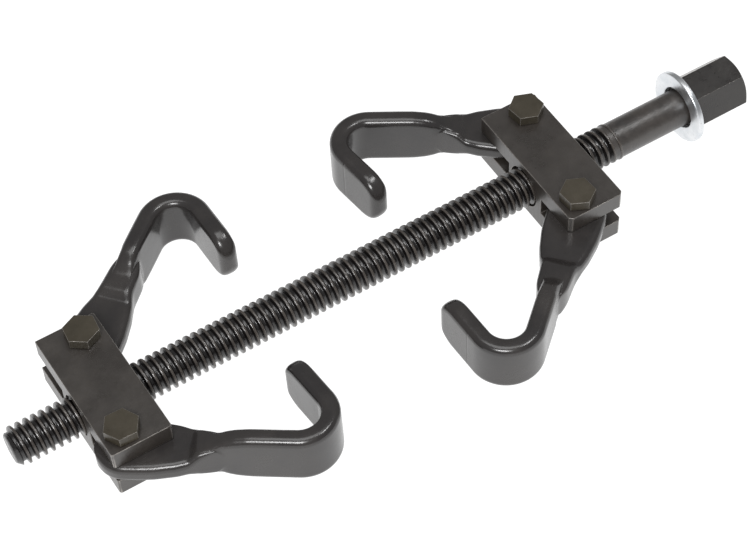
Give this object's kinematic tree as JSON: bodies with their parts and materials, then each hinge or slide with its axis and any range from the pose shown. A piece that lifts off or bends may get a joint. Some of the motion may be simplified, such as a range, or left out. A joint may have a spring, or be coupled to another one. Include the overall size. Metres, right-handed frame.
{
  "type": "coil spring compressor",
  "caption": "Coil spring compressor with a hex-driven lead screw, slotted yokes and pivoting forged hooks that grip a spring's coils.",
  "frame": {"origin": "centre of the flat end face of the hexagonal drive head", "axes": "+X along the lead screw, out of the drive head; +Z along the lower yoke's pivot bolts, towards their heads"},
  "size_m": [0.4076, 0.1766, 0.0407],
  "materials": {
    "screw_steel": "oiled black steel, satin",
    "zinc_plate": "bright zinc plate",
    "yoke_steel": "black oxide, satin",
    "hook_steel": "dipped black, semi-gloss",
    "bolt_steel": "black oxide, satin"
  },
  "bodies": {
    "upper_yoke": {"upper_yoke": "yoke_steel", "upper_bolt_rear": "bolt_steel", "upper_bolt_front": "bolt_steel"},
    "thrust_washer": {"thrust_washer": "zinc_plate"},
    "lead_screw": {"lead_screw": "screw_steel"},
    "lower_yoke": {"lower_yoke": "yoke_steel", "lower_bolt_rear": "bolt_steel", "lower_bolt_front": "bolt_steel"},
    "lower_hook_rear": {"lower_hook_rear": "hook_steel"},
    "lower_hook_front": {"lower_hook_front": "hook_steel"},
    "upper_hook_rear": {"upper_hook_rear": "hook_steel"},
    "upper_hook_front": {"upper_hook_front": "hook_steel"}
  },
  "joints": [
    {"name": "screw_feed", "type": "slide", "parent": "upper_yoke", "child": "thrust_washer", "axis": [1, 0, 0], "range_m": [-0.0605, 0.01]},
    {"name": "screw_turn", "type": "hinge", "parent": "thrust_washer", "child": "lead_screw", "pos_m": [0, 0, 0], "axis": [-1, 0, 0], "range_deg": [-2430, 3600]},
    {"name": "lower_yoke_travel", "type": "slide", "parent": "thrust_washer", "child": "lower_yoke", "axis": [1, 0, 0], "range_m": [-0.02701, 0.04001]},
    {"name": "lower_hook_rear_pivot", "type": "hinge", "parent": "lower_yoke", "child": "lower_hook_rear", "pos_m": [-0.3536, 0.0281, 0], "axis": [0, 0, 1], "range_deg": [-17, 100]},
    {"name": "lower_hook_front_pivot", "type": "hinge", "parent": "lower_yoke", "child": "lower_hook_front", "pos_m": [-0.3632, -0.0303, 0], "axis": [0, 0, -1], "range_deg": [-14, 100]},
    {"name": "upper_hook_rear_pivot", "type": "hinge", "parent": "upper_yoke", "child": "upper_hook_rear", "pos_m": [-0.1065, 0.02808, 0.00096], "axis": [0, 0.034, -0.9994], "range_deg": [-10, 100]},
    {"name": "upper_hook_front_pivot", "type": "hinge", "parent": "upper_yoke", "child": "upper_hook_front", "pos_m": [-0.1161, -0.03028, -0.00103], "axis": [0, -0.034, 0.9994], "range_deg": [-20, 100]}
  ],
  "couplings": [
    {"joint": "lower_yoke_travel", "follows": "screw_turn", "m_per_rad": 0.00063662}
  ]
}
